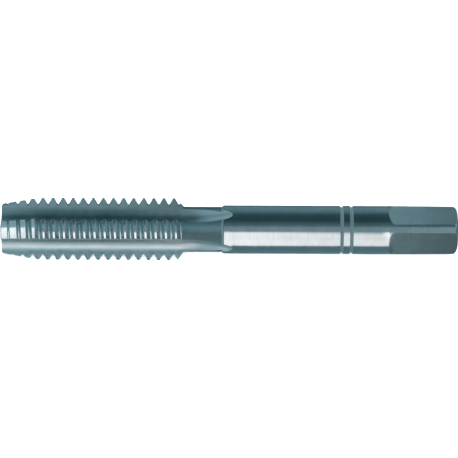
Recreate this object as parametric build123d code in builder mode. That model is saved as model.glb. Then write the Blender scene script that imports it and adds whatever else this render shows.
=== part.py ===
from build123d import *
from math import atan2, ceil, cos, degrees, radians, sin, tan
import os

# A second hand tap for an M8 x 1.25 right-hand thread: four straight flutes, a relieved neck, a plain shank
# marked with two rings, and a driving square. It is ground from one bar of high-speed steel.
# Millimetres and degrees. The axis runs along X, the cutting tip towards -X. The tap lies on the edges of two
# lands, with one flute straight down. A "station" is a distance along the axis from the tip.

# Driving dimensions
overall_length = 56.4
crest_diameter = 7.68  # a second tap is ground a little under the finished 8 mm
root_diameter = 6.16
pitch = 1.25
thread_angle = 60.0
root_flat = 0.13
crest_at_top = 0.034  # station of a crest where it crosses crest_phase_angle, less whole pitches
crest_phase_angle = 134.4

tip_diameter = 6.2
tip_chamfer = 0.12
lead_length = 4.55  # the cone that starts the cut ends here
thread_end = 22.5
thread_end_angle = 54.0
neck_diameter = 5.58
neck_end = 27.2
shank_start = 27.5
shank_diameter = 5.97

ring_stations = (42.05, 43.25)
ring_width = 0.42
ring_angle = 90.0

flute_count = 4
land_angle = 36.2  # arc of crest left between two flutes
rake_angle = 12.2
heel_angle = 24.0  # lean of the flute's other wall from the radius through its edge
flute_root_radius = 1.2
flute_full_length = 23.0  # beyond it the wheel lifts out along its own curve
wheel_radius = 16.8
wheel_arc = 25.0

square_across = 4.85
square_start = 48.67
square_corner_angle = 48.0
square_wheel_corner = 0.9
square_end_diameter = 5.88  # the corners of the square are eased towards the end, so that a wrench slips on
end_face_diameter = 4.3
end_round_length = 0.42
end_round_bulge = 0.11

tip_centre_diameter = 1.3
end_centre_diameter = 1.6
centre_angle = 60.0

# Worked-out sizes
crest_radius = crest_diameter / 2
root_radius = root_diameter / 2
shank_radius = shank_diameter / 2
gap_angle = 360 / flute_count - land_angle
tip_x = -overall_length / 2
axis_height = crest_radius * cos(radians(gap_angle / 2))
tool_axis = Axis((tip_x, 0, axis_height), (1, 0, 0))
thread_end_length = (crest_radius - neck_diameter / 2) / tan(radians(thread_end_angle))
centre_slope = tan(radians(centre_angle / 2))
clearance = 0.6  # how far a cutting shape reaches past the metal that it removes


def around_axis(station, angle, facing=1):
    """Plane square to the axis at a station, its x pointing outwards at an angle from -Y towards +Z."""
    outwards = (0, -cos(radians(angle)), sin(radians(angle)))
    return Plane(origin=(tip_x + station, 0, axis_height), x_dir=outwards, z_dir=(facing, 0, 0))


def along_axis(angle):
    """Plane through the axis: x is the station, y the distance outwards at an angle from -Y towards +Z."""
    sideways = (0, -sin(radians(angle)), -cos(radians(angle)))
    return Plane(origin=(tip_x, 0, axis_height), x_dir=(1, 0, 0), z_dir=sideways)


def polar(radius, angle):
    return Vector(radius * cos(radians(angle)), radius * sin(radians(angle)))


def cross(first, second):
    return first.X * second.Y - first.Y * second.X


# One flute's section: two straight walls that meet in a round root. Its x points outwards, midway between the
# cutting edge, on the -y side, and the heel of the next land, on the +y side.
cutting_edge = polar(crest_radius, -gap_angle / 2)
heel_edge = polar(crest_radius, gap_angle / 2)
cutting_wall = polar(-1, -gap_angle / 2 + rake_angle)
heel_wall = polar(-1, gap_angle / 2 + heel_angle)
wall_length = cross(heel_edge - cutting_edge, heel_wall) / cross(cutting_wall, heel_wall)
walls_meet = cutting_edge + cutting_wall * wall_length
half_opening = cutting_wall.get_angle(heel_wall) / 2
opening_line = (cutting_wall + heel_wall).normalized() * -1
root_centre = walls_meet + opening_line * (flute_root_radius / sin(radians(half_opening)))
wheel_angle = degrees(atan2(root_centre.Y, root_centre.X))
wheel_centre = polar(root_centre.length - flute_root_radius + wheel_radius, wheel_angle)

flute_plane = around_axis(flute_full_length, 90, facing=-1)
wheel_axis = Axis(
    flute_plane.from_local_coords(wheel_centre),
    flute_plane.from_local_coords(polar(1, wheel_angle - 90)) - flute_plane.origin,
)

with BuildPart() as flute_space:
    with BuildSketch(flute_plane) as flute_section:
        with BuildLine():
            Polyline(
                cutting_edge - cutting_wall * clearance,
                walls_meet,
                heel_edge - heel_wall * clearance,
                close=True,
            )
        make_face()
        fillet(flute_section.vertices().sort_by(Axis.X)[0], flute_root_radius)
    extrude(amount=flute_full_length + clearance)
    revolve(flute_section.sketch, axis=wheel_axis, revolution_arc=wheel_arc)

# One turn of the space between two threads. The first turn starts straight above the axis, in front of the tip.
helix_angle = 90.0
groove_at_top = crest_at_top + pitch / 2 + pitch * (crest_phase_angle - helix_angle) / 360
helix_start = groove_at_top - pitch
groove_turns = ceil((thread_end + pitch / 2 - helix_start) / pitch)
groove_reach = 0.06
groove_mouth = root_flat / 2 + (crest_radius + groove_reach - root_radius) * tan(radians(thread_angle / 2))

with BuildPart() as thread_turn:
    with BuildLine() as groove_path:
        Helix(pitch, pitch, root_radius, center=(tip_x + helix_start, 0, axis_height), direction=(1, 0, 0))
    with BuildSketch(along_axis(helix_angle)):
        with BuildLine():
            Polyline(
                (helix_start - root_flat / 2, root_radius),
                (helix_start + root_flat / 2, root_radius),
                (helix_start + groove_mouth, crest_radius + groove_reach),
                (helix_start - groove_mouth, crest_radius + groove_reach),
                close=True,
            )
        make_face()
    sweep(path=groove_path.line, is_frenet=True)

# One flat of the driving square: the wheel's rounded corner leaves a curved shoulder on the shank.
with BuildPart() as square_space:
    with BuildSketch(along_axis(square_corner_angle + 45)):
        with BuildLine():
            shoulder_top = (square_start - square_wheel_corner, square_across / 2 + square_wheel_corner)
            shoulder_foot = (square_start, square_across / 2)
            RadiusArc(shoulder_top, shoulder_foot, -square_wheel_corner)
            Polyline(
                shoulder_foot,
                (overall_length + clearance, square_across / 2),
                (overall_length + clearance, shoulder_top[1]),
                shoulder_top,
            )
        make_face()
    extrude(amount=shank_radius, both=True)

with BuildPart() as tap:
    # The turned blank: lead cone, thread cylinder, neck, shank and rounded end, with the centre holes that it was
    # turned and ground between.
    with BuildSketch(along_axis(90)):
        with BuildLine():
            end_corner = (overall_length - end_round_length, square_end_diameter / 2)
            end_rim = (overall_length, end_face_diameter / 2)
            Polyline(
                end_rim,
                (overall_length, end_centre_diameter / 2),
                (overall_length - end_centre_diameter / 2 / centre_slope, 0),
                (tip_centre_diameter / 2 / centre_slope, 0),
                (0, tip_centre_diameter / 2),
                (0, tip_diameter / 2 - tip_chamfer),
                (tip_chamfer, tip_diameter / 2),
                (lead_length, crest_radius),
                (thread_end - thread_end_length, crest_radius),
                (thread_end, neck_diameter / 2),
                (neck_end, neck_diameter / 2),
                (shank_start, shank_radius),
                (square_start, shank_radius),
                end_corner,
            )
            SagittaArc(end_corner, end_rim, end_round_bulge)
        make_face()
    revolve(axis=tool_axis)

    # Two rings cut round the shank tell this tap from the first and the finishing one.
    with BuildSketch(along_axis(90)):
        for station in ring_stations:
            ring_depth = ring_width / 2 / tan(radians(ring_angle / 2))
            with BuildLine():
                Polyline(
                    (station - ring_width, shank_radius + ring_depth),
                    (station, shank_radius - ring_depth),
                    (station + ring_width, shank_radius + ring_depth),
                    close=True,
                )
            make_face()
    revolve(axis=tool_axis, mode=Mode.SUBTRACT)

    for index in range(4):
        add(square_space.part.rotate(tool_axis, index * 90), mode=Mode.SUBTRACT)

    for index in range(flute_count):
        add(flute_space.part.rotate(tool_axis, index * 360 / flute_count), mode=Mode.SUBTRACT)

    for turn in range(groove_turns):
        add(thread_turn.part.moved(Location((turn * pitch, 0, 0))), mode=Mode.SUBTRACT)

tap.part.label = "tap_body"
os.makedirs("parts", exist_ok=True)
export_step(tap.part, "parts/tap_body.step")
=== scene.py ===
"""A second hand tap for an M8 x 1.25 thread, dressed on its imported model.

Lengths in the script are millimetres, where no comment says otherwise.
"""
from math import acos, atan2, cos, degrees, pi, radians, sin, sqrt, tan

import bmesh
import bpy
from mathutils import Matrix, Vector


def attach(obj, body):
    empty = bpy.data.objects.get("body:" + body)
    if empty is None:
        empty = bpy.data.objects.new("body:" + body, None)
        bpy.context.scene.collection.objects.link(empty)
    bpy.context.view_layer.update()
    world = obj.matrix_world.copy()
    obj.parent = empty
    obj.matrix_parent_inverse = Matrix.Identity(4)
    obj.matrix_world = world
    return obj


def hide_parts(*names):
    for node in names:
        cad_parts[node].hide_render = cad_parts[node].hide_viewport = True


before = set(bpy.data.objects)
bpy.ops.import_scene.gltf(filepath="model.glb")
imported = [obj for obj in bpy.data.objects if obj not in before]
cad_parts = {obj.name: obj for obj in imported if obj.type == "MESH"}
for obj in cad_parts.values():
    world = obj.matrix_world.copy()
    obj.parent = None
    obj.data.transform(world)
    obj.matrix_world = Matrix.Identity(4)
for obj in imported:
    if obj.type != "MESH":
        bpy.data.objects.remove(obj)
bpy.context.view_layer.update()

MM = 0.001
CAD_NODE = "tap_body"

# ---- Sizes of the tap. A "station" is a distance along the axis from the cutting tip.
LENGTH = 56.4
LANDS = 4
QUARTER = 360 / LANDS  # from one land to the next
CREST_RADIUS = 3.84
ROOT_RADIUS = 3.08
PITCH = 1.25
ROOT_FLAT = 0.13
FLANK_SLOPE = 1 / tan(radians(30))  # radius gained for each millimetre along a flank
CREST_AT_TOP = 0.034  # station of a crest at CREST_PHASE, less whole pitches
CREST_PHASE = 134.4
TEETH = 19

TIP_RADIUS = 3.1
TIP_CHAMFER = 0.12
LEAD_LENGTH = 4.55
NECK_RADIUS = 2.79
NECK_START = 22.5
THREAD_END_SLOPE = tan(radians(54))
NECK_END = 27.2
SHANK_START = 27.5
SHANK_RADIUS = 2.985
SHOULDER_CORNER = 0.6  # part of the neck's shoulder that is as rough as a ring's groove
RINGS = (42.05, 43.25)
RING_HALF_WIDTH = 0.21
RING_FLOOR = 0.03  # half width of the worn bottom of a ring
TINY = 1e-6  # keeps a station on a ring's lip inside the ring

LAND_ANGLE = 36.2  # from a land's heel to its cutting edge, at the crests
RAKE = 12.2  # angle between the wall under a cutting edge and the line from there to the axis
HEEL = 24.0  # and the same under a heel
FLUTE_ROOT = 1.2  # radius of the arc between the two walls
FLUTE_LENGTH = 23.0  # station where the flutes start to lift
WHEEL_RADIUS = 16.8  # of the curve along which they lift
GAP_ANGLE = QUARTER - LAND_ANGLE
KEPT_RADIUS = 2.7  # below this a flute's lines don't follow the teeth but run straight along the tap

SQUARE_HALF = 2.425
SQUARE_START = 48.67  # station where the flats reach their depth
SQUARE_CORNER = 48.0  # angle of a corner from -Y towards +Z
SQUARE_FILLET = 0.9
SQUARE_END_RADIUS = 2.94  # of the corners' round surface at the driving end
EDGE_ROUND = 0.05  # the wear on the edges between the flats and the corners
EDGE_WEAR = 0.4  # where a flat is still shallow its edges are worn by this part of its depth
END_FACE_RADIUS = 2.15
END_ROUND_LENGTH = 0.42
END_ROUND_BULGE = 0.11

TIP_CENTRE_RADIUS = 0.65
END_CENTRE_RADIUS = 0.8
CENTRE_SLOPE = tan(radians(30))

TIP_X = -LENGTH / 2
AXIS_HEIGHT = CREST_RADIUS * cos(radians(GAP_ANGLE / 2))

# ---- How finely the surface is divided
LAND_STEPS = 16
WALL_STEPS = 4
ROOT_STEPS = 14
FLANK_STEPS = 3
FLUTE_STEPS = 2 * WALL_STEPS + ROOT_STEPS
EDGE_STEPS = 5
TOOTH_PARTS = 4  # a flank, two halves of the crest and a flank
NECK_STEPS = 2
LIFT_STEPS = 12  # along the lifting flutes, on the neck and again on the shank
SHANK_STEPS = 14
AFTER_RINGS_STEPS = 5
SHOULDER_STEPS = 12
SQUARE_STEPS = 8
END_STEPS = 8
HOLE_STEPS = 64
EDGE_HALVINGS = 40  # to find where a lifting flute leaves the round surface
CREST_PASSES = 30  # to find where a flank meets the outline
LAND_PASSES = 6  # to find a thread line's place and the flute's edge there together
WELD = 2e-7  # metres; points this close are one
NO_LENGTH = 1e-8  # metres
SHARP_ANGLE = 15


def polar(radius, angle):
    return Vector((radius * cos(radians(angle)), radius * sin(radians(angle))))


def mix(first, second, share):
    return first + (second - first) * share


def in_space(station, radius, angle):
    """A point of the tap; the angle runs from -Y towards +Z."""
    y = -radius * cos(radians(angle))
    z = AXIS_HEIGHT + radius * sin(radians(angle))
    return Vector(((TIP_X + station) * MM, y * MM, z * MM))


# ---- The flute's section, from one land's cutting edge to the next land's heel. Its x axis points outwards
# over the middle of the gap up to WHEEL_ANGLE, and after that over the flute's own deepest line.
cutting_edge = polar(CREST_RADIUS, -GAP_ANGLE / 2)
heel_edge = polar(CREST_RADIUS, GAP_ANGLE / 2)
cutting_wall = polar(-1, -GAP_ANGLE / 2 + RAKE)
heel_wall = polar(-1, GAP_ANGLE / 2 + HEEL)
wall_length = (heel_edge - cutting_edge).cross(heel_wall) / cutting_wall.cross(heel_wall)
half_opening = cutting_wall.angle(heel_wall) / 2
root_centre = cutting_edge + cutting_wall * wall_length
root_centre -= (cutting_wall + heel_wall).normalized() * FLUTE_ROOT / sin(half_opening)
WHEEL_ANGLE = degrees(atan2(root_centre.y, root_centre.x))
CENTRE_RADIUS = root_centre.length
WHEEL_CENTRE = CENTRE_RADIUS - FLUTE_ROOT + WHEEL_RADIUS
WALL_OUT = {
    -1: polar(1, -GAP_ANGLE / 2 + RAKE - WHEEL_ANGLE),
    1: polar(1, GAP_ANGLE / 2 + HEEL - WHEEL_ANGLE),
}
ARC_END = {  # radians from the deepest line to where the root's arc meets each wall
    -1: radians(90 + degrees(atan2(WALL_OUT[-1].y, WALL_OUT[-1].x))),
    1: radians(90 - degrees(atan2(WALL_OUT[1].y, WALL_OUT[1].x))),
}
FLUTE_TIP = FLUTE_LENGTH + sqrt(WHEEL_RADIUS**2 - (WHEEL_CENTRE - SHANK_RADIUS) ** 2)


def root_arc(turn):
    return Vector((CENTRE_RADIUS - FLUTE_ROOT * cos(turn), FLUTE_ROOT * sin(turn)))


def flute_point(run):
    """The section's point at a signed distance along it from its deepest point."""
    side = 1 if run > 0 else -1
    turn = abs(run) / FLUTE_ROOT
    if turn <= ARC_END[side]:
        return root_arc(side * turn)
    return root_arc(side * ARC_END[side]) + WALL_OUT[side] * (turn - ARC_END[side]) * FLUTE_ROOT


def run_at_radius(radius, side):
    """Where the section reaches a radius, on its cutting side (-1) or its heel side (1)."""
    cosine = (CENTRE_RADIUS**2 + FLUTE_ROOT**2 - radius**2) / (2 * CENTRE_RADIUS * FLUTE_ROOT)
    turn = acos(max(-1, min(1, cosine)))
    if turn <= ARC_END[side]:
        return side * turn * FLUTE_ROOT
    start = root_arc(side * ARC_END[side])
    lean = start.dot(WALL_OUT[side])
    beyond = sqrt(lean**2 + radius**2 - start.length_squared) - lean
    return side * (ARC_END[side] * FLUTE_ROOT + beyond)


def flute_at(station, run):
    """The flute's surface: straight at first, then lifting out along the grinding wheel's curve."""
    point = flute_point(run)
    past = max(0.0, station - FLUTE_LENGTH)
    depth = sqrt(max(0.0, (WHEEL_CENTRE - point.x) ** 2 - past**2))
    return Vector((WHEEL_CENTRE - depth, point.y))


def run_out_edge(station, radius, side):
    """Where the lifting flute leaves the round surface."""
    low, high = 0.0, run_at_radius(CREST_RADIUS, side)
    for _ in range(EDGE_HALVINGS):
        middle = (low + high) / 2
        if flute_at(station, middle).length < radius:
            low = middle
        else:
            high = middle
    return (low + high) / 2


def flute_angle(land, point):
    """Angle round the axis of a point in the axes of the flute that follows a land."""
    return QUARTER * (land + 1) + WHEEL_ANGLE + degrees(atan2(point.y, point.x))


KEPT_RUN = {side: run_at_radius(KEPT_RADIUS, side) for side in (-1, 1)}


def flute_runs(start, end):
    """Distances along the section, from the cutting side to the heel side."""
    runs = [mix(start, KEPT_RUN[-1], step / WALL_STEPS) for step in range(WALL_STEPS)]
    runs += [mix(KEPT_RUN[-1], KEPT_RUN[1], step / ROOT_STEPS) for step in range(ROOT_STEPS)]
    return runs + [mix(KEPT_RUN[1], end, step / WALL_STEPS) for step in range(WALL_STEPS + 1)]


# ---- The outline that the blank is turned to over the threads
OUTLINE = [
    (0, TIP_RADIUS - TIP_CHAMFER),
    (TIP_CHAMFER, TIP_RADIUS),
    (LEAD_LENGTH, CREST_RADIUS),
    (NECK_START - (CREST_RADIUS - NECK_RADIUS) / THREAD_END_SLOPE, CREST_RADIUS),
    (NECK_START, NECK_RADIUS),
]
THREAD_END = NECK_START - (ROOT_RADIUS - NECK_RADIUS) / THREAD_END_SLOPE


def outline(station):
    if station <= OUTLINE[0][0]:
        return OUTLINE[0][1]
    for (x0, r0), (x1, r1) in zip(OUTLINE, OUTLINE[1:]):
        if station <= x1:
            return mix(r0, r1, (station - x0) / (x1 - x0))
    return OUTLINE[-1][1]


def tooth_line(tooth, part, angle):
    """Station and radius of a line along a tooth: 0 a root, 1 to 3 across the crest, 4 the next root."""
    crest = CREST_AT_TOP + PITCH * (tooth + (CREST_PHASE - angle) / 360)
    half_base = (PITCH - ROOT_FLAT) / 2
    base = [max(0, min(THREAD_END, crest + side * half_base)) for side in (-1, 1)]
    top = []
    for side in (-1, 1):
        station = crest
        for _ in range(CREST_PASSES):
            station = crest + side * (half_base - (outline(station) - ROOT_RADIUS) / FLANK_SLOPE)
        top.append(max(base[0], min(base[1], station)))
    middle = (top[0] + top[1]) / 2
    for corner, _ in OUTLINE[1:-1]:
        if top[0] < corner < top[1]:
            middle = corner
    ends = [
        (base[0], min(ROOT_RADIUS, outline(base[0]))),
        (top[0], outline(top[0])),
        (middle, outline(middle)),
        (top[1], outline(top[1])),
        (base[1], min(ROOT_RADIUS, outline(base[1]))),
    ]
    if part == int(part):
        return ends[int(part)]
    (x0, r0), (x1, r1) = ends[int(part)], ends[int(part) + 1]
    return mix(x0, x1, part - int(part)), mix(r0, r1, part - int(part))


def land_point(land, tooth, part, share):
    """A point of a thread line on a land; share runs from the land's heel to its cutting edge."""
    radius = CREST_RADIUS
    for _ in range(LAND_PASSES):
        heel = flute_angle(land - 1, flute_point(run_at_radius(radius, 1)))
        cutting = flute_angle(land, flute_point(run_at_radius(radius, -1)))
        angle = mix(heel, cutting, share)
        station, radius = tooth_line(tooth, part, angle)
    return station, radius, angle


def thread_row(tooth, part):
    shares = [step / LAND_STEPS for step in range(LAND_STEPS + 1)]
    lands = [[land_point(land, tooth, part, share) for share in shares] for land in range(LANDS)]
    row = []
    for land in range(LANDS):
        row += [in_space(*point) for point in lands[land]]
        (x0, r0, _), (x1, r1, _) = lands[land][-1], lands[(land + 1) % LANDS][0]
        runs = flute_runs(run_at_radius(r0, -1), run_at_radius(r1, 1))
        for step in range(1, FLUTE_STEPS):
            point = flute_point(runs[step])
            share = max(0, min(1, (step - WALL_STEPS) / ROOT_STEPS))
            row.append(in_space(mix(x0, x1, share), point.length, flute_angle(land, point)))
    return row


def run_out_row(station, radius):
    """A row across the neck or the shank's start, where the flutes still cut into it."""
    kept = flute_runs(run_at_radius(NECK_RADIUS, -1), run_at_radius(NECK_RADIUS, 1))
    shares = [(run - kept[0]) / (kept[-1] - kept[0]) for run in kept]
    edges = [run_out_edge(station, radius, side) for side in (-1, 1)]
    points = [flute_at(station, mix(edges[0], edges[1], share)) for share in shares]
    row = []
    for land in range(LANDS):
        heel, cutting = flute_angle(land - 1, points[-1]), flute_angle(land, points[0])
        for step in range(LAND_STEPS + 1):
            row.append(in_space(station, radius, mix(heel, cutting, step / LAND_STEPS)))
        row += [in_space(station, point.length, flute_angle(land, point)) for point in points[1:-1]]
    return row


def square_depth(station):
    """Distance of a flat from the axis; its shoulder curves up to the shank."""
    past = max(0.0, SQUARE_START - station)
    if past >= SQUARE_FILLET:
        return LENGTH  # far outside the shank, so there is no flat
    return SQUARE_HALF + SQUARE_FILLET - sqrt(SQUARE_FILLET**2 - past**2)


def flat_points(radius, depth):
    """Half a flat's section from its worn edge to its middle: distances along its normal and across it."""
    worn = min(EDGE_ROUND, EDGE_WEAR * (radius - depth))
    across = sqrt((radius - worn) ** 2 - (depth - worn) ** 2)
    edge = atan2(across, depth - worn)
    points = []
    for step in range(EDGE_STEPS + 1):
        turn = edge * (1 - step / EDGE_STEPS)
        points.append((depth - worn + worn * cos(turn), across + worn * sin(turn)))
    inner = FLUTE_STEPS // 2 - EDGE_STEPS
    return points + [(depth, across * (1 - step / inner)) for step in range(1, inner + 1)]


def round_row(station, radius):
    """A row across the shank or the square: four round stretches, with a flat or nothing between them."""
    turned = max(0, min(1, (station - FLUTE_TIP) / (SQUARE_START - SQUARE_FILLET - FLUTE_TIP)))
    depth = square_depth(station)
    points = [(radius, 0)] * (FLUTE_STEPS // 2 + 1)
    if depth < radius:
        points = flat_points(radius, depth)
    half_flat = degrees(atan2(points[0][1], points[0][0]))
    row = []
    for land in range(LANDS):
        seam = mix(QUARTER + WHEEL_ANGLE, SQUARE_CORNER + QUARTER / 2, turned) + QUARTER * land
        for step in range(LAND_STEPS + 1):
            angle = mix(seam - QUARTER + half_flat, seam - half_flat, step / LAND_STEPS)
            row.append(in_space(station, radius, angle))
        section = [(along, -across) for along, across in points[1:]]
        section += [(along, across) for along, across in reversed(points[1:-1])]
        for along, across in section:
            row.append(in_space(station, sqrt(along**2 + across**2), seam + degrees(atan2(across, along))))
    return row


# ---- Rows from the tip to the driving end, each with the finish of the surface that follows it
def end_round():
    """The arc that rounds the driving end, from the shank's surface to the end face."""
    start = Vector((LENGTH - END_ROUND_LENGTH, SQUARE_END_RADIUS))
    end = Vector((LENGTH, END_FACE_RADIUS))
    chord = end - start
    bulge_way = Vector((-chord.y, chord.x)).normalized()
    return [
        mix(start, end, step / END_STEPS) + bulge_way * END_ROUND_BULGE * sin(pi * step / END_STEPS)
        for step in range(END_STEPS + 1)
    ]


def thread_rows():
    rows = []
    for tooth in range(TEETH):
        for part in range(TOOTH_PARTS):
            on_flank = part in (0, TOOTH_PARTS - 1)
            steps, finish = (FLANK_STEPS, "thread") if on_flank else (1, "ground")
            for step in range(steps):
                rows.append((thread_row(tooth, part + step / steps), finish))
        rows.append((thread_row(tooth, TOOTH_PARTS), "thread"))
    return rows


def run_out_rows():
    rows = [(run_out_row(THREAD_END, ROOT_RADIUS), "turned")]
    neck = [mix(NECK_START, FLUTE_LENGTH, step / NECK_STEPS) for step in range(NECK_STEPS)]
    neck += [mix(FLUTE_LENGTH, NECK_END, step / LIFT_STEPS) for step in range(LIFT_STEPS)]
    rows += [(run_out_row(station, NECK_RADIUS), "turned") for station in neck]
    rows.append((run_out_row(NECK_END, NECK_RADIUS), "ring"))
    inside = mix(NECK_END, SHANK_START, SHOULDER_CORNER)
    rows.append((run_out_row(inside, mix(NECK_RADIUS, SHANK_RADIUS, SHOULDER_CORNER)), "turned"))
    for step in range(LIFT_STEPS):
        station = mix(SHANK_START, FLUTE_TIP, sin(pi / 2 * step / LIFT_STEPS))
        rows.append((run_out_row(station, SHANK_RADIUS), "ground"))
    return rows


def shank_finish(station):
    in_ring = any(-RING_HALF_WIDTH <= station - ring + TINY < RING_HALF_WIDTH for ring in RINGS)
    return "ring" if in_ring else "ground"


def shank_rows():
    before_rings = RINGS[0] - RING_HALF_WIDTH
    profile = []
    for step in range(SHANK_STEPS):
        profile.append((mix(FLUTE_TIP, before_rings, step / SHANK_STEPS), SHANK_RADIUS))
    for ring in RINGS:
        for side in (-1, 1):
            lip = (ring + side * RING_HALF_WIDTH, SHANK_RADIUS)
            floor = (ring + side * RING_FLOOR, SHANK_RADIUS - RING_HALF_WIDTH + RING_FLOOR)
            profile += [lip, floor] if side < 0 else [floor, lip]
    after_rings = RINGS[1] + RING_HALF_WIDTH
    cut_depth = SQUARE_FILLET + SQUARE_HALF - SHANK_RADIUS
    square_tip = SQUARE_START - sqrt(SQUARE_FILLET**2 - cut_depth**2)
    for step in range(1, AFTER_RINGS_STEPS):
        profile.append((mix(after_rings, square_tip, step / AFTER_RINGS_STEPS), SHANK_RADIUS))
    for step in range(SHOULDER_STEPS):
        share = 1 - cos(pi / 2 * step / SHOULDER_STEPS)
        profile.append((mix(square_tip, SQUARE_START, share), SHANK_RADIUS))
    arc = end_round()
    for step in range(SQUARE_STEPS):
        share = step / SQUARE_STEPS
        profile.append((mix(SQUARE_START, arc[0].x, share), mix(SHANK_RADIUS, arc[0].y, share)))
    profile += [(point.x, point.y) for point in arc]
    profile += centre_hole(END_CENTRE_RADIUS, LENGTH, -1)
    return [(round_row(station, radius), shank_finish(station)) for station, radius in profile]


def centre_hole(radius, face, inwards):
    """A cone's rim and point; inwards is the way along X that it goes in."""
    return [(face, radius), (face + inwards * radius / CENTRE_SLOPE, 0)]


def finish_of(row_finish, column, station):
    """The finish of one patch; between the lands there is a flute near the tip and a flat near the end."""
    valley = column % (LAND_STEPS + FLUTE_STEPS) - LAND_STEPS
    if valley < 0:
        return row_finish
    return "flute" if station < FLUTE_TIP else "flat"


def join_rings(form, ring, following):
    """The faces between two closed rows of points, one for each column."""
    faces = []
    for column in range(len(ring)):
        beside = (column + 1) % len(ring)
        face = form.faces.new((ring[column], ring[beside], following[beside], following[column]))
        face.smooth = True
        faces.append(face)
    return faces


def tap_mesh():
    mesh = bpy.data.meshes.new("tap")
    form = bmesh.new()
    rows = thread_rows() + run_out_rows() + shank_rows()
    rings = [[form.verts.new(place) for place in row] for row, _ in rows]
    for (_, finish), ring, following in zip(rows, rings, rings[1:]):
        for column, face in enumerate(join_rings(form, ring, following)):
            station = ring[column].co.x / MM - TIP_X
            face.material_index = FINISHES.index(finish_of(finish, column, station))
    angles = [360 * step / HOLE_STEPS for step in range(HOLE_STEPS)]
    hole = []
    for station, radius in centre_hole(TIP_CENTRE_RADIUS, 0, 1):
        hole.append([form.verts.new(in_space(station, radius, angle)) for angle in angles])
    join_rings(form, *hole)
    bmesh.ops.remove_doubles(form, verts=form.verts, dist=WELD)
    bmesh.ops.dissolve_degenerate(form, edges=form.edges, dist=NO_LENGTH)
    rim = [edge for edge in form.edges if edge.is_boundary]
    bmesh.ops.triangle_fill(form, edges=rim, use_beauty=True)
    bmesh.ops.recalc_face_normals(form, faces=form.faces)
    open_edges = sum(not edge.is_manifold for edge in form.edges)
    print("tap mesh:", len(form.verts), "vertices", len(form.faces), "faces", open_edges, "open edges")
    form.to_mesh(mesh)
    form.free()
    mesh.set_sharp_from_angle(angle=radians(SHARP_ANGLE))
    return mesh


# ---- Materials: every finish is steel with its own grain, gloss and small differences of colour
# Noise in cycles per metre along X, Y and Z
AROUND = (9000, 700, 700)  # stretched into lines that run round the axis
ALONG = (350, 11000, 11000)  # and into lines that run along it
CLOUD = (600, 600, 600)
NOISE_MIDDLE = (0.3, 0.7)  # nearly all of a noise's values lie between these
GLOSS_RANGE = (0.85, 1.15)  # times a steel's roughness
BUMP_DEPTH = 0.00001  # metres
ACROSS_GRAIN = 0.25  # of a turn from the tangent, which runs round the axis

# How much of its colour a flute keeps, between two distances from the axis. The darker root stands in for
# the softer shading of the real flute, whose section is rounder than the modelled one.
UNSHADED = (1, 1, 1, 1)
HEEL_REACH = (2.35, 3.15)  # on the wall under a land's heel
HEEL_SHADES = ((0.32, 0.40, 0.42, 1), (0.80, 0.80, 0.80, 1))
CUTTING_REACH = (2.03, 2.5)  # on the wall under a land's cutting edge
CUTTING_SHADES = ((0.45, 0.45, 0.45, 1), UNSHADED)
SIDE_BLEND = 0.3  # half the width of the change between the walls, as the sine of LANDS times the angle
RUN_OUT_SHADE = (0.68, 0.68, 0.68, 1)  # where the flute lifts out, both its walls keep this much
HEEL_LIFTED = (13.0, 23.0)  # stations between which the heel's side comes to it
LIFTED = (21.5, 24.0)  # and both sides
TIP_LIGHT = 0.35  # the part by which the shades are weaker at the tip; it fades out up to TIP_REACH
TIP_REACH = 7.0
FLAT_SHADES = (1.17, 0.78)  # painted light and shade: how much of its colour a flat keeps at its shoulder and at the driving end


def add_node(tree, kind, inputs=(), **settings):
    """A node whose inputs, by name or number, are set to values or linked to sockets."""
    node = tree.nodes.new(kind)
    for name, value in settings.items():
        setattr(node, name, value)
    for name, value in dict(inputs).items():
        if isinstance(value, bpy.types.NodeSocket):
            tree.links.new(value, node.inputs[name])
        else:
            node.inputs[name].default_value = value
    return node


def noise(tree, stretch, detail=3.0):
    """A noise over the object's own coordinates, stretched into lines or left as clouds."""
    place = add_node(tree, "ShaderNodeTexCoord").outputs["Object"]
    spread = add_node(tree, "ShaderNodeVectorMath", {0: place, 1: stretch}, operation="MULTIPLY")
    inputs = {"Vector": spread.outputs[0], "Scale": 1.0, "Detail": detail}
    return add_node(tree, "ShaderNodeTexNoise", inputs).outputs[0]


def spread_to(tree, value, low, high):
    """Map the useful middle of a noise to a range."""
    start, end = NOISE_MIDDLE
    inputs = {"Value": value, "From Min": start, "From Max": end, "To Min": low, "To Max": high}
    return add_node(tree, "ShaderNodeMapRange", inputs).outputs[0]


def rises(tree, value, low, high):
    """0 below a range, 1 above it, smooth between."""
    inputs = {"Value": value, "From Min": low, "From Max": high}
    return add_node(tree, "ShaderNodeMapRange", inputs, interpolation_type="SMOOTHSTEP").outputs[0]


def times(tree, first, second):
    return add_node(tree, "ShaderNodeMath", {0: first, 1: second}, operation="MULTIPLY").outputs[0]


def blend(tree, share, first, second):
    """A colour between two; 6 and 7 are the colour sockets of a Mix node, and 2 is its colour output."""
    return add_node(tree, "ShaderNodeMix", {0: share, 6: first, 7: second}, data_type="RGBA").outputs[2]


def within(tree, value, low, high, edge):
    """1 inside a range, fading to 0 over an edge on either side of it."""
    return times(tree, rises(tree, value, low - edge, low), rises(tree, value, high + edge, high))


def place_on_tap(tree):
    """Millimetres from the tip along X and from the axis in Y and Z."""
    inputs = {0: add_node(tree, "ShaderNodeTexCoord").outputs["Object"], "Scale": 1 / MM}
    place = add_node(tree, "ShaderNodeVectorMath", inputs, operation="SCALE").outputs[0]
    inputs = {0: place, 1: (-TIP_X, 0, -AXIS_HEIGHT)}
    return add_node(tree, "ShaderNodeVectorMath", inputs, operation="ADD").outputs[0]


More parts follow.
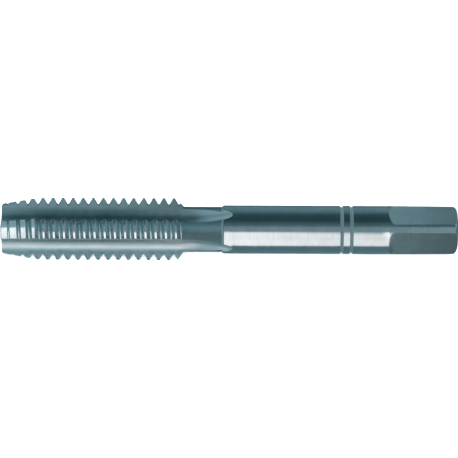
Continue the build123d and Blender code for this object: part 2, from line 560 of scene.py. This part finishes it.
def angle_round(tree, part):
    """The angle round the X axis from -Y towards +Z, in radians, of a separated direction or place."""
    inputs = {0: part.outputs["Z"], 1: times(tree, part.outputs["Y"], -1.0)}
    return add_node(tree, "ShaderNodeMath", inputs, operation="ARCTAN2").outputs[0]


def flat_shade(tree):
    """A factor of painted light and shade for a flat's colour, lighter at its shoulder and darker towards
    the driving end.
    """
    station = add_node(tree, "ShaderNodeSeparateXYZ", {0: place_on_tap(tree)}).outputs["X"]
    high, low = FLAT_SHADES
    inputs = {"Value": station, "From Min": SQUARE_START, "From Max": LENGTH, "To Min": high, "To Max": low}
    return add_node(tree, "ShaderNodeMapRange", inputs).outputs[0]


def flute_shade(tree):
    """A factor for a flute's colour: darker towards its root, and most so on the heel's side."""
    place = place_on_tap(tree)
    part = add_node(tree, "ShaderNodeSeparateXYZ", {0: place})
    station = part.outputs["X"]
    across = add_node(tree, "ShaderNodeVectorMath", {0: place, 1: (0, 1, 1)}, operation="MULTIPLY")
    length = add_node(tree, "ShaderNodeVectorMath", {0: across.outputs[0]}, operation="LENGTH")
    radius = length.outputs["Value"]
    inputs = {0: angle_round(tree, part), 1: float(LANDS), 2: -LANDS * radians(WHEEL_ANGLE)}
    turn = add_node(tree, "ShaderNodeMath", inputs, operation="MULTIPLY_ADD").outputs[0]
    side = add_node(tree, "ShaderNodeMath", {0: turn}, operation="SINE").outputs[0]
    heel = blend(tree, rises(tree, radius, *HEEL_REACH), *HEEL_SHADES)
    heel = blend(tree, rises(tree, station, *HEEL_LIFTED), heel, RUN_OUT_SHADE)
    cutting = blend(tree, rises(tree, radius, *CUTTING_REACH), *CUTTING_SHADES)
    shade = blend(tree, rises(tree, side, -SIDE_BLEND, SIDE_BLEND), cutting, heel)
    past_tip = rises(tree, station, 0.0, TIP_REACH)
    near_tip = add_node(tree, "ShaderNodeMath", {0: 1.0, 1: past_tip}, operation="SUBTRACT")
    shade = blend(tree, times(tree, near_tip.outputs[0], TIP_LIGHT), shade, UNSHADED)
    return blend(tree, rises(tree, station, *LIFTED), shade, RUN_OUT_SHADE)


def steel(name, color, roughness, grain, bump, spread=0.0, streak=0.05, cloud=0.04, shade=None):
    """Steel with a grain of lines, which spread draws its highlights out across.

    Streak and cloud are how far its tone varies, and shade gives a factor for its color.
    """
    material = bpy.data.materials.new(name)
    material.use_nodes = True
    tree = material.node_tree
    shader = tree.nodes["Principled BSDF"]
    shader.inputs["Metallic"].default_value = 1.0
    shader.inputs["Anisotropic"].default_value = spread
    shader.inputs["Anisotropic Rotation"].default_value = ACROSS_GRAIN if grain == AROUND else 0.0
    around = add_node(tree, "ShaderNodeTangent", direction_type="RADIAL", axis="X")
    tree.links.new(around.outputs[0], shader.inputs["Tangent"])
    lines = noise(tree, grain)
    clouds = noise(tree, CLOUD)
    streaks = spread_to(tree, lines, 1 - streak, 1 + streak)
    tone = times(tree, streaks, spread_to(tree, clouds, 1 - cloud, 1 + cloud))
    if shade:
        inputs = {0: shade(tree), 1: color}
        color = add_node(tree, "ShaderNodeVectorMath", inputs, operation="MULTIPLY").outputs[0]
    tinted = add_node(tree, "ShaderNodeVectorMath", {0: color, "Scale": tone}, operation="SCALE")
    tree.links.new(tinted.outputs[0], shader.inputs["Base Color"])
    gloss = spread_to(tree, clouds, *[roughness * factor for factor in GLOSS_RANGE])
    tree.links.new(gloss, shader.inputs["Roughness"])
    inputs = {"Height": lines, "Strength": bump, "Distance": BUMP_DEPTH}
    relief = add_node(tree, "ShaderNodeBump", inputs)
    tree.links.new(relief.outputs[0], shader.inputs["Normal"])
    return material


STEELS = {  # color, roughness, grain and bump of each finish
    "ground": ((0.60, 0.635, 0.65), 0.15, AROUND, 0.25),
    "thread": ((0.55, 0.64, 0.66), 0.28, AROUND, 0.25),
    "flute": ((0.635, 0.725, 0.75), 0.36, ALONG, 0.3),
    "turned": ((0.34, 0.48, 0.51), 0.6, AROUND, 0.5),
    "ring": ((0.54, 0.62, 0.645), 0.7, AROUND, 0.25),
    "flat": ((0.415, 0.485, 0.497), 0.6, AROUND, 0.4),
}
STEEL_EXTRAS = {  # and what some of them have besides
    "flute": {"spread": 0.8, "cloud": 0.06, "shade": flute_shade},
    "turned": {"spread": 1.0},
    "flat": {"spread": 1.0, "cloud": 0.09, "shade": flat_shade},
}
FINISHES = list(STEELS)

tap = bpy.data.objects.new("tap", tap_mesh())
bpy.context.scene.collection.objects.link(tap)
for finish in FINISHES:
    tap.data.materials.append(steel(finish, *STEELS[finish], **STEEL_EXTRAS.get(finish, {})))
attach(tap, "root")
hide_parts(CAD_NODE)

# ---- Camera: the photograph's view, square to the axis from far off
VIEW_ELEVATION = 44.4
VIEW_DISTANCE = 328.0
LENS = 207.8  # focal length
VIEW_ROLL = 0.25
AIM = Vector((-0.078, 0.0, AXIS_HEIGHT + 0.07))


def add_camera():
    data = bpy.data.cameras.new("camera")
    data.lens = LENS
    camera = bpy.data.objects.new("camera", data)
    towards = Vector((0, -cos(radians(VIEW_ELEVATION)), sin(radians(VIEW_ELEVATION))))
    place = (AIM + towards * VIEW_DISTANCE) * MM
    turn = towards.to_track_quat("Z", "Y").to_matrix().to_4x4()
    camera.matrix_world = Matrix.Translation(place) @ turn @ Matrix.Rotation(radians(VIEW_ROLL), 4, "Z")
    bpy.context.scene.collection.objects.link(camera)
    bpy.context.scene.camera = camera


# ---- Studio: what the steel reflects, as an angle round the tap's axis from -Y towards +Z, a brightness and
# a tint. It is fitted to the bands of light on the photographed shank.
DEEP = (0.42, 1.13, 1.34)
TEAL = (0.54, 1.12, 1.28)
COOL = (0.60, 1.09, 1.24)
PALE = (0.72, 1.06, 1.20)
WHITE = (1.0, 1.0, 1.0)
STUDIO = [
    (-180, 0.23, COOL),
    (-164, 0.15, COOL),
    (-120, 0.13, COOL),
    (-98, 0.24, COOL),
    (-73, 0.195, COOL),
    (-57, 0.19, COOL),
    (-41.5, 0.21, COOL),
    (-37.5, 1.14, WHITE),
    (-18, 1.23, WHITE),
    (5, 1.10, WHITE),
    (22, 1.23, WHITE),
    (30, 1.16, WHITE),
    (33, 0.34, PALE),
    (42, 0.30, PALE),
    (51, 0.29, PALE),
    (58, 0.24, PALE),
    (62, 0.16, COOL),
    (75, 0.115, COOL),
    (84, 0.066, DEEP),
    (96, 0.054, DEEP),
    (112, 0.066, DEEP),
    (124, 0.09, DEEP),
    (137, 0.165, COOL),
    (150, 0.205, COOL),
    (168, 0.24, COOL),
    (180, 0.24, COOL),
]
STRIP = (-0.09, 0.12)  # where STUDIO holds: the X part of the unit direction, fading out over EDGE
EDGE = 0.03
SIDES = [  # the studio to both sides of that strip
    (-180, 0.22, COOL),
    (-155, 0.25, COOL),
    (-110, 0.50, COOL),
    (-80, 0.34, COOL),
    (-38, 0.29, COOL),
    (-22, 0.08, COOL),
    (10, 0.12, COOL),
    (30, 0.02, COOL),
    (38, 0.36, COOL),
    (50, 0.76, TEAL),
    (66, 0.52, TEAL),
    (82, 0.50, COOL),
    (100, 0.26, COOL),
    (116, 0.30, COOL),
    (130, 0.64, PALE),
    (142, 0.94, PALE),
    (165, 0.50, COOL),
    (180, 0.22, COOL),
]
ENDS = [  # and towards the two ends of the tap
    (-180, 0.22, COOL),
    (-155, 0.12, COOL),
    (-110, 0.14, COOL),
    (-80, 0.34, COOL),
    (-38, 0.32, COOL),
    (-20, 0.15, COOL),
    (10, 0.20, COOL),
    (29, 0.08, COOL),
    (38, 0.24, COOL),
    (50, 0.55, COOL),
    (66, 0.36, COOL),
    (82, 0.26, COOL),
    (92, 0.12, DEEP),
    (114, 0.10, DEEP),
    (130, 0.45, COOL),
    (142, 0.60, COOL),
    (165, 0.50, COOL),
    (180, 0.22, COOL),
]
ENDS_FROM = 0.65  # of the unit direction's X part
# Softboxes and black cards: the range of that X part, the range of angles, the brightness and the tint
PANELS = [
    (-0.46, -0.38, 47, 82, 0.42, PALE),
    (-0.46, -0.38, -42, 47, 1.8, WHITE),
    (-0.36, -0.13, -40, 29, 0.6, PALE),
    (-0.10, -0.02, -40, 31, 1.75, WHITE),
    (-0.88, -0.66, 25, 75, 1.0, WHITE),
    (0.66, 0.88, 25, 75, 1.0, WHITE),
    (-0.88, -0.66, 125, 165, 0.7, WHITE),
    (0.66, 0.88, 125, 165, 0.7, WHITE),
    (-0.15, -0.09, 62, 138, 0.04, DEEP),
    (0.12, 0.28, 62, 138, 0.04, DEEP),
    (0.075, 0.16, 22, 36, 0.3, PALE),
]
PANEL_EDGE = 0.03  # of the X part, and radians round the axis
LIGHT_MAP = 2048  # how finely the studio's brightness is mapped to send rays to it
# The table and what is behind it, in metres
FLOOR_HALF = 2.0
FLOOR_COLOR = (0.9, 0.9, 0.9, 1)
BACKDROP_RADIUS = 1.9
BACKDROP_PARTS = (48, 24)  # faces round it and from its bottom to its top
# Lamps for the table: the name, the direction, the distance and size in metres, the power in watts
LIGHTS = [
    ("front_light", (0, -1, 1), 1.0, 0.5, 24),
    ("top_light", (0, 0.2, 1), 0.8, 1.2, 4),
]


def light_color(brightness, tint):
    return (*[brightness * channel for channel in tint], 1)


def ramp(tree, turn, shades):
    node = add_node(tree, "ShaderNodeValToRGB", {0: turn})
    stops = node.color_ramp.elements
    while len(stops) < len(shades):
        stops.new(0.5)  # each is moved to its place below
    for stop, (degree, brightness, tint) in zip(stops, shades):
        stop.position = (degree + 180) / 360
        stop.color = light_color(brightness, tint)
    return node.outputs[0]


def add_world():
    world = bpy.data.worlds.new("studio")
    bpy.context.scene.world = world
    world.use_nodes = True
    tree = world.node_tree
    direction = add_node(tree, "ShaderNodeTexCoord").outputs["Generated"]
    part = add_node(tree, "ShaderNodeSeparateXYZ", {0: direction})
    angle = angle_round(tree, part)
    inputs = {"Value": angle, "From Min": -pi, "From Max": pi}
    turn = add_node(tree, "ShaderNodeMapRange", inputs).outputs[0]
    along = part.outputs["X"]
    strip = within(tree, along, *STRIP, EDGE)
    middle = within(tree, along, -ENDS_FROM, ENDS_FROM, EDGE)
    around_strip = blend(tree, middle, ramp(tree, turn, ENDS), ramp(tree, turn, SIDES))
    color = blend(tree, strip, around_strip, ramp(tree, turn, STUDIO))
    for left, right, low, high, brightness, tint in PANELS:
        across = within(tree, along, left, right, PANEL_EDGE)
        around = within(tree, angle, radians(low), radians(high), PANEL_EDGE)
        color = blend(tree, times(tree, across, around), color, light_color(brightness, tint))
    tree.links.new(color, tree.nodes["Background"].inputs["Color"])
    world.cycles.sampling_method = "MANUAL"
    world.cycles.sample_map_resolution = LIGHT_MAP


def add_surrounding(name, mesh):
    """Something around the tap that its steel doesn't reflect, and its shader."""
    thing = bpy.data.objects.new(name, mesh)
    bpy.context.scene.collection.objects.link(thing)
    thing.visible_glossy = False
    material = bpy.data.materials.new(name)
    material.use_nodes = True
    mesh.materials.append(material)
    return thing, material.node_tree.nodes["Principled BSDF"]


def add_floor():
    mesh = bpy.data.meshes.new("floor")
    corners = [(-1, -1), (1, -1), (1, 1), (-1, 1)]
    mesh.from_pydata([(x * FLOOR_HALF, y * FLOOR_HALF, 0) for x, y in corners], [], [(0, 1, 2, 3)])
    floor, shader = add_surrounding("floor", mesh)
    shader.inputs["Base Color"].default_value = FLOOR_COLOR
    shader.inputs["Roughness"].default_value = 1.0


def add_backdrop():
    """A pale wall behind the table, which the camera alone sees."""
    mesh = bpy.data.meshes.new("backdrop")
    form = bmesh.new()
    around, up = BACKDROP_PARTS
    bmesh.ops.create_uvsphere(form, u_segments=around, v_segments=up, radius=BACKDROP_RADIUS)
    form.to_mesh(mesh)
    form.free()
    backdrop, shader = add_surrounding("backdrop", mesh)
    shader.inputs["Base Color"].default_value = (0, 0, 0, 1)
    shader.inputs["Emission Color"].default_value = (1, 1, 1, 1)
    shader.inputs["Emission Strength"].default_value = 1.0
    backdrop.visible_diffuse = False
    backdrop.visible_shadow = False


def add_light(name, direction, distance, size, energy):
    """A soft light for the table alone; what the steel reflects is the studio around it."""
    data = bpy.data.lights.new(name, "AREA")
    data.shape = "DISK"
    data.size = size
    data.energy = energy
    light = bpy.data.objects.new(name, data)
    towards = Vector(direction).normalized()
    turn = towards.to_track_quat("Z", "Y").to_matrix().to_4x4()
    light.matrix_world = Matrix.Translation(towards * distance) @ turn
    light.visible_glossy = False
    bpy.context.scene.collection.objects.link(light)


add_camera()
add_world()
add_floor()
add_backdrop()
for light in LIGHTS:
    add_light(*light)
bpy.context.scene.view_settings.view_transform = "Standard"
